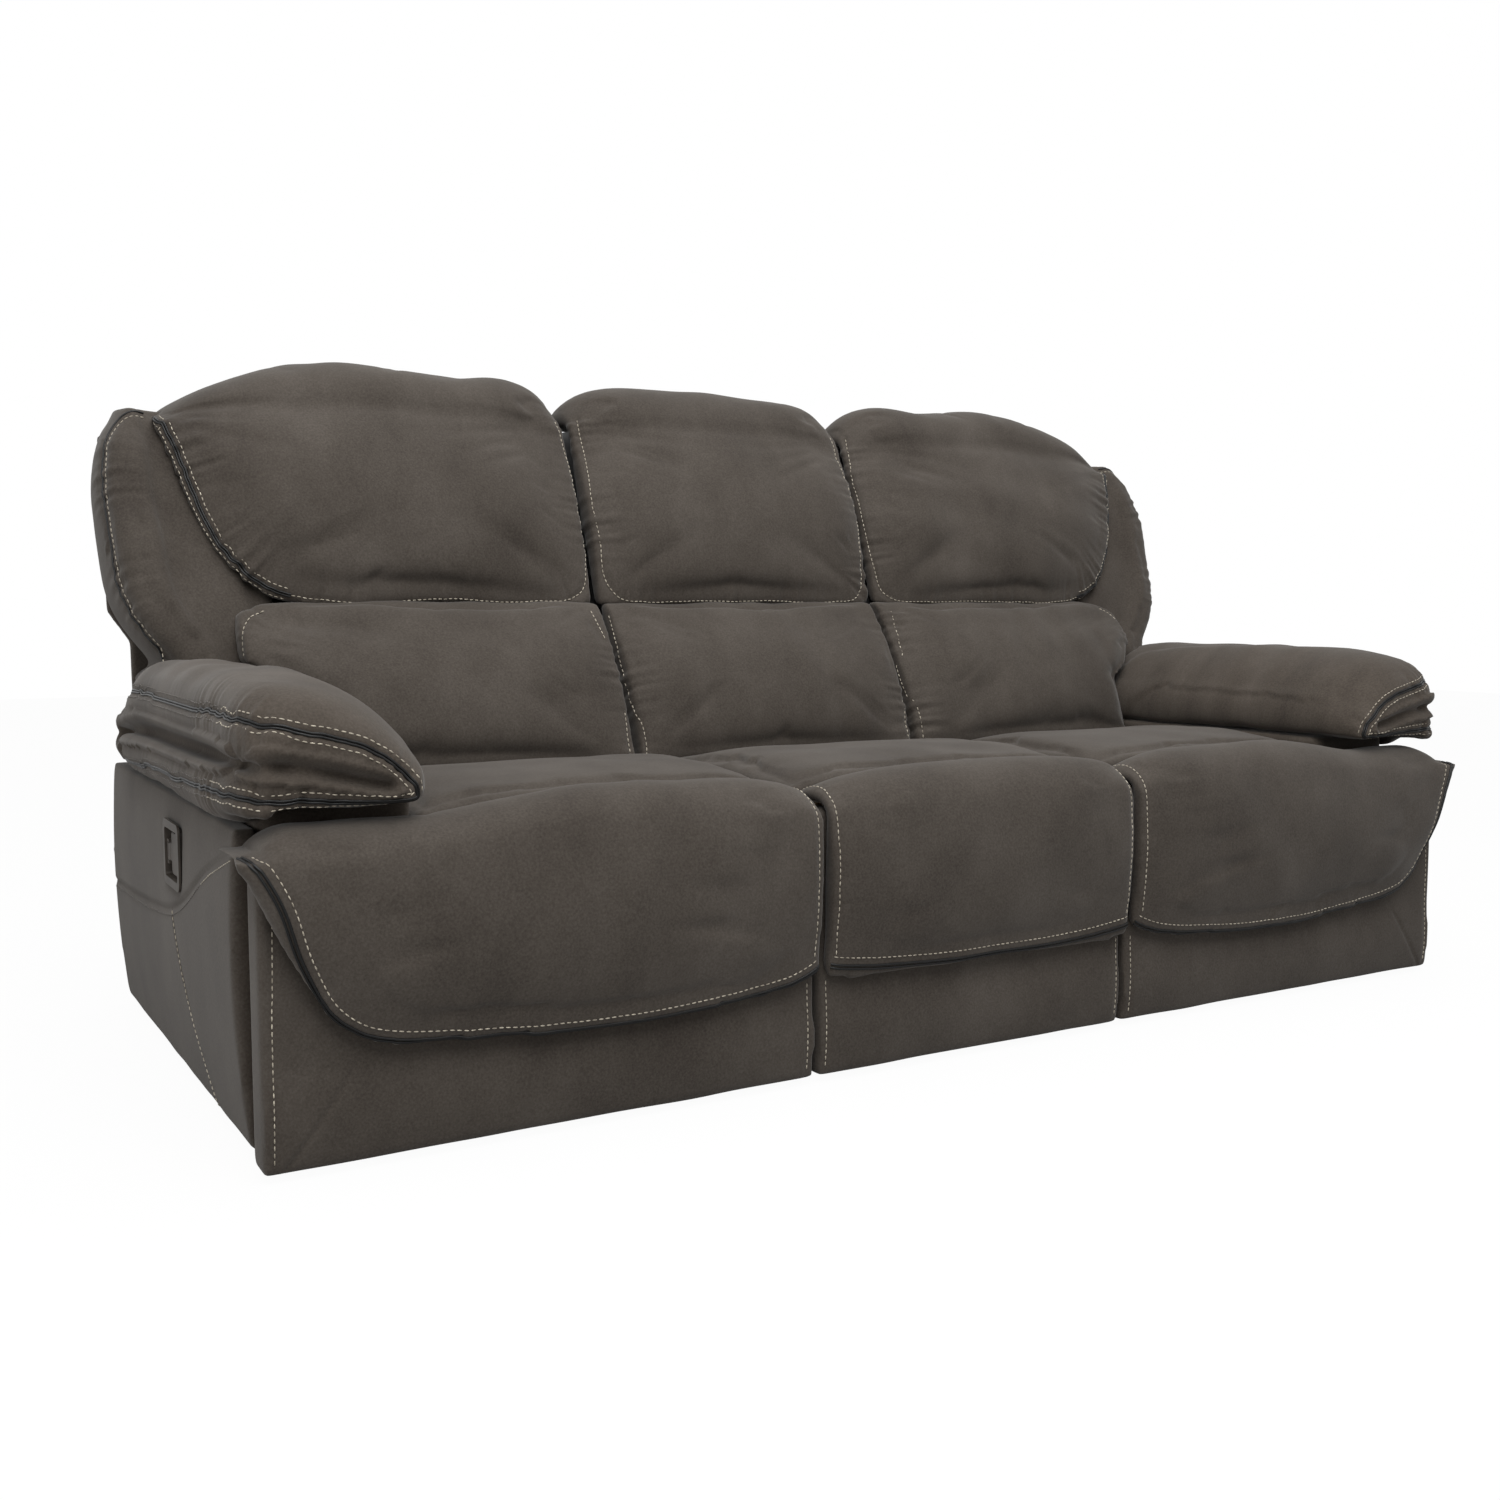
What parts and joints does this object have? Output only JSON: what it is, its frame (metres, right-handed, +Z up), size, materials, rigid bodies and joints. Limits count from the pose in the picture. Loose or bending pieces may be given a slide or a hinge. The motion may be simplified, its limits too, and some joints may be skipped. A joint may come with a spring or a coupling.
{
  "type": "reclining sofa",
  "caption": "Padded sofa whose end seats recline: each footrest swings up on links, each back leans, and a pull handle in the side releases them.",
  "frame": {"origin": "on the floor, at the middle of the sofa's width and depth", "axes": "+X along the sofa to the right seen from the front, -Y the front, +Z up"},
  "size_m": [2.1754, 1.0205, 1.0703],
  "materials": {
    "seat_fabric": "matte",
    "arm_fabric": "matte",
    "frame_wood": "matte",
    "mechanism_steel": "satin",
    "spring_steel": "satin",
    "handle_plastic": "satin",
    "glide_plastic": "matte"
  },
  "bodies": {
    "base": {"floor_glides": "glide_plastic", "rear_rail": "frame_wood", "centre_front_board": "frame_wood", "centre_front_pad": "seat_fabric", "centre_flap": "seat_fabric", "centre_seat_cushion": "seat_fabric", "centre_seat_deck": "frame_wood", "centre_lumbar_pad": "seat_fabric", "centre_head_pad": "seat_fabric", "centre_back_frame": "frame_wood", "centre_back_panel": "seat_fabric", "left_divider": "frame_wood", "left_arm_body": "arm_fabric", "left_arm_pad": "arm_fabric", "left_side_panel": "seat_fabric", "left_handle_bezel": "handle_plastic", "left_mechanism_frame": "mechanism_steel", "left_seat_frame": "frame_wood", "left_seat_springs": "spring_steel", "left_seat_cushion": "seat_fabric", "right_divider": "frame_wood", "right_arm_body": "arm_fabric", "right_arm_pad": "arm_fabric", "right_side_panel": "seat_fabric", "right_handle_bezel": "handle_plastic", "right_mechanism_frame": "mechanism_steel", "right_seat_frame": "frame_wood", "right_seat_springs": "spring_steel", "right_seat_cushion": "seat_fabric"},
    "left_footrest": {"left_footrest_board": "frame_wood", "left_footrest_pad": "seat_fabric", "left_footrest_flap": "seat_fabric", "left_footrest_bracket": "mechanism_steel"},
    "left_front_swing": {"left_front_swing_arm": "mechanism_steel"},
    "left_rear_swing": {"left_rear_swing_arm": "mechanism_steel"},
    "left_upper_coupler": {"left_upper_couplers": "mechanism_steel"},
    "left_lower_coupler": {"left_lower_couplers": "mechanism_steel"},
    "left_back": {"left_back_frame": "frame_wood", "left_back_brackets": "mechanism_steel", "left_back_panel": "seat_fabric", "left_lumbar_pad": "seat_fabric", "left_head_pad": "seat_fabric", "left_wing_pad": "seat_fabric"},
    "left_handle": {"left_handle_paddle": "handle_plastic"},
    "right_footrest": {"right_footrest_board": "frame_wood", "right_footrest_pad": "seat_fabric", "right_footrest_flap": "seat_fabric", "right_footrest_bracket": "mechanism_steel"},
    "right_front_swing": {"right_front_swing_arm": "mechanism_steel"},
    "right_rear_swing": {"right_rear_swing_arm": "mechanism_steel"},
    "right_upper_coupler": {"right_upper_couplers": "mechanism_steel"},
    "right_lower_coupler": {"right_lower_couplers": "mechanism_steel"},
    "right_back": {"right_back_frame": "frame_wood", "right_back_brackets": "mechanism_steel", "right_back_panel": "seat_fabric", "right_lumbar_pad": "seat_fabric", "right_head_pad": "seat_fabric", "right_wing_pad": "seat_fabric"},
    "right_handle": {"right_handle_paddle": "handle_plastic"}
  },
  "joints": [
    {"name": "left_footrest_open", "type": "hinge", "parent": "base", "child": "left_footrest", "pos_m": [0, -0.453, 0.438], "axis": [-1, 0, 0], "range_deg": [0, 86]},
    {"name": "left_front_swing_pivot", "type": "hinge", "parent": "base", "child": "left_front_swing", "pos_m": [0, -0.269, 0.3], "axis": [-1, 0, 0], "range_deg": [0, 86]},
    {"name": "left_rear_swing_pivot", "type": "hinge", "parent": "base", "child": "left_rear_swing", "pos_m": [0, -0.189, 0.24], "axis": [-1, 0, 0], "range_deg": [0, 86]},
    {"name": "left_upper_coupler_pivot", "type": "hinge", "parent": "left_front_swing", "child": "left_upper_coupler", "pos_m": [0, -0.18296, 0.17713], "axis": [-1, 0, 0], "range_deg": [-86, 0]},
    {"name": "left_lower_coupler_pivot", "type": "hinge", "parent": "left_front_swing", "child": "left_lower_coupler", "pos_m": [0, -0.15142, 0.13207], "axis": [-1, 0, 0], "range_deg": [-86, 0]},
    {"name": "left_back_recline", "type": "hinge", "parent": "base", "child": "left_back", "pos_m": [0, 0.195, 0.35], "axis": [-1, 0, 0], "range_deg": [0, 25]},
    {"name": "left_handle_pull", "type": "hinge", "parent": "base", "child": "left_handle", "pos_m": [-1.059, 0.009, 0.33], "axis": [0, 0, -1], "range_deg": [0, 35], "stiffness_Nm_per_rad": 0.5, "springref_deg": -17.19},
    {"name": "right_footrest_open", "type": "hinge", "parent": "base", "child": "right_footrest", "pos_m": [0, -0.453, 0.438], "axis": [-1, 0, 0], "range_deg": [0, 86]},
    {"name": "right_front_swing_pivot", "type": "hinge", "parent": "base", "child": "right_front_swing", "pos_m": [0, -0.269, 0.3], "axis": [-1, 0, 0], "range_deg": [0, 86]},
    {"name": "right_rear_swing_pivot", "type": "hinge", "parent": "base", "child": "right_rear_swing", "pos_m": [0, -0.189, 0.24], "axis": [-1, 0, 0], "range_deg": [0, 86]},
    {"name": "right_upper_coupler_pivot", "type": "hinge", "parent": "right_front_swing", "child": "right_upper_coupler", "pos_m": [0, -0.18296, 0.17713], "axis": [-1, 0, 0], "range_deg": [-86, 0]},
    {"name": "right_lower_coupler_pivot", "type": "hinge", "parent": "right_front_swing", "child": "right_lower_coupler", "pos_m": [0, -0.15142, 0.13207], "axis": [-1, 0, 0], "range_deg": [-86, 0]},
    {"name": "right_back_recline", "type": "hinge", "parent": "base", "child": "right_back", "pos_m": [0, 0.195, 0.35], "axis": [-1, 0, 0], "range_deg": [0, 25]},
    {"name": "right_handle_pull", "type": "hinge", "parent": "base", "child": "right_handle", "pos_m": [1.059, 0.009, 0.33], "axis": [0, 0, 1], "range_deg": [0, 35], "stiffness_Nm_per_rad": 0.5, "springref_deg": -17.19}
  ],
  "couplings": [
    {"joint": "left_front_swing_pivot", "follows": "left_footrest_open", "ratio": 1},
    {"joint": "left_rear_swing_pivot", "follows": "left_footrest_open", "ratio": 1},
    {"joint": "left_upper_coupler_pivot", "follows": "left_footrest_open", "ratio": -1},
    {"joint": "left_lower_coupler_pivot", "follows": "left_footrest_open", "ratio": -1},
    {"joint": "right_front_swing_pivot", "follows": "right_footrest_open", "ratio": 1},
    {"joint": "right_rear_swing_pivot", "follows": "right_footrest_open", "ratio": 1},
    {"joint": "right_upper_coupler_pivot", "follows": "right_footrest_open", "ratio": -1},
    {"joint": "right_lower_coupler_pivot", "follows": "right_footrest_open", "ratio": -1}
  ]
}
